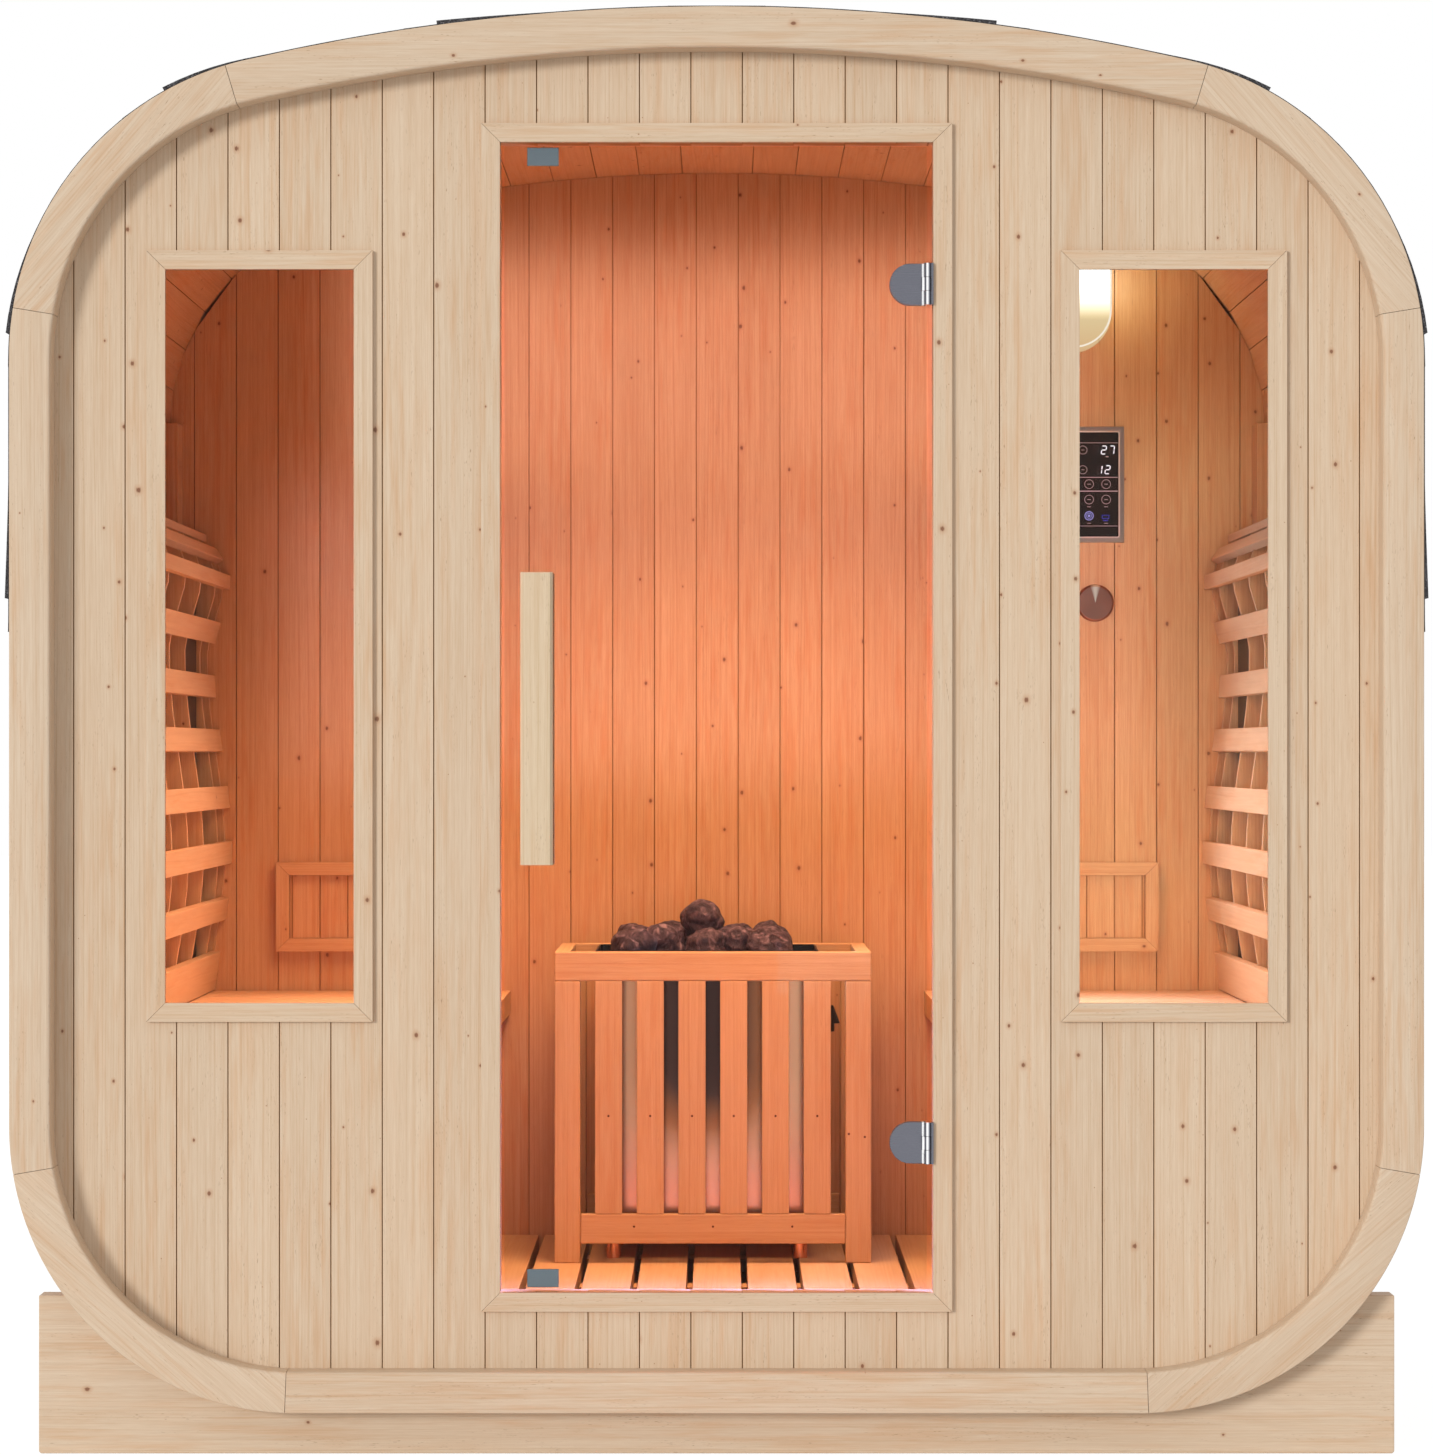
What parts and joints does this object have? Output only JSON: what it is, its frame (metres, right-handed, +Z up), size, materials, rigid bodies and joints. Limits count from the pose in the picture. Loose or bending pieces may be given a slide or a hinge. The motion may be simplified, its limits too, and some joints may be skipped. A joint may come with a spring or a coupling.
{
  "type": "cube sauna",
  "caption": "Stave-built cabin sauna with rounded corners, end rings, hinged glass door, two windows, facing benches with curved backrests and a guarded stove.",
  "frame": {"origin": "on the ground under the middle of the cabin", "axes": "+Z up, -Y towards the front with the glass door, +X to the right seen from the front"},
  "size_m": [2.013, 1.75, 2.0542],
  "materials": {
    "ring_wood": "planed spruce, oiled, satin",
    "stave_wood": "planed spruce staves, satin",
    "wall_wood": "planed tongued and grooved spruce boards, satin",
    "casing_wood": "planed spruce, satin",
    "window_glass": "clear float glass",
    "door_glass": "clear toughened glass with polished edges",
    "hinge_steel": "satin stainless steel",
    "catch_steel": "satin stainless steel",
    "handle_wood": "planed spruce, eased edges",
    "floor_wood": "planed spruce",
    "bench_wood": "planed spruce, sanded",
    "backrest_wood": "planed spruce, sanded",
    "emitter_black": "matt black heat emitter",
    "guard_wood": "planed spruce, sanded",
    "stove_steel": "brushed stainless steel",
    "tray_black": "black heat-proof paint",
    "stove_stone": "dark olivine stones, rough",
    "lamp_glass": "opal glass, lit from inside",
    "panel_aluminium": "satin anodised frame round a black face",
    "vent_chrome": "polished chrome",
    "shingle": "mineral-faced bitumen, granular",
    "cradle_wood": "planed spruce"
  },
  "bodies": {
    "cabin": {"front_ring": "ring_wood", "back_ring": "ring_wood", "roof_staves": "stave_wood", "shoulder_staves_left": "stave_wood", "shoulder_staves_right": "stave_wood", "side_staves_left": "stave_wood", "side_staves_right": "stave_wood", "haunch_staves_left": "stave_wood", "haunch_staves_right": "stave_wood", "belly_staves": "stave_wood", "front_wall_left": "wall_wood", "front_wall_right": "wall_wood", "front_wall_over_door": "wall_wood", "front_wall_sill": "wall_wood", "back_wall": "wall_wood", "window_casings": "casing_wood", "window_glass": "window_glass", "door_casing": "casing_wood", "hinge_leaves": "hinge_steel", "floor_slats": "floor_wood", "floor_joists": "floor_wood", "bench_slats": "bench_wood", "bench_nosings": "bench_wood", "bench_bearers": "bench_wood", "backrest_slats_left": "backrest_wood", "backrest_slats_right": "backrest_wood", "backrest_ribs": "backrest_wood", "heat_emitters": "emitter_black", "corner_battens": "wall_wood", "guard_frame": "guard_wood", "guard_slats": "guard_wood", "stove_body": "stove_steel", "stone_tray": "tray_black", "stones": "stove_stone", "wall_lamp": "lamp_glass", "control_panel": "panel_aluminium", "round_vent": "vent_chrome", "low_panel_frames": "casing_wood", "low_panel_boards": "wall_wood", "shingles_left": "shingle", "shingles_right": "shingle", "cradles": "cradle_wood"},
    "door": {"door_glass": "door_glass", "hinge_plates": "hinge_steel", "door_handle": "handle_wood", "door_catches": "catch_steel"}
  },
  "joints": [
    {"name": "door_hinge", "type": "hinge", "parent": "cabin", "child": "door", "pos_m": [0.3, -0.836, 1.048], "axis": [0, 0, 1], "range_deg": [0, 100]}
  ]
}
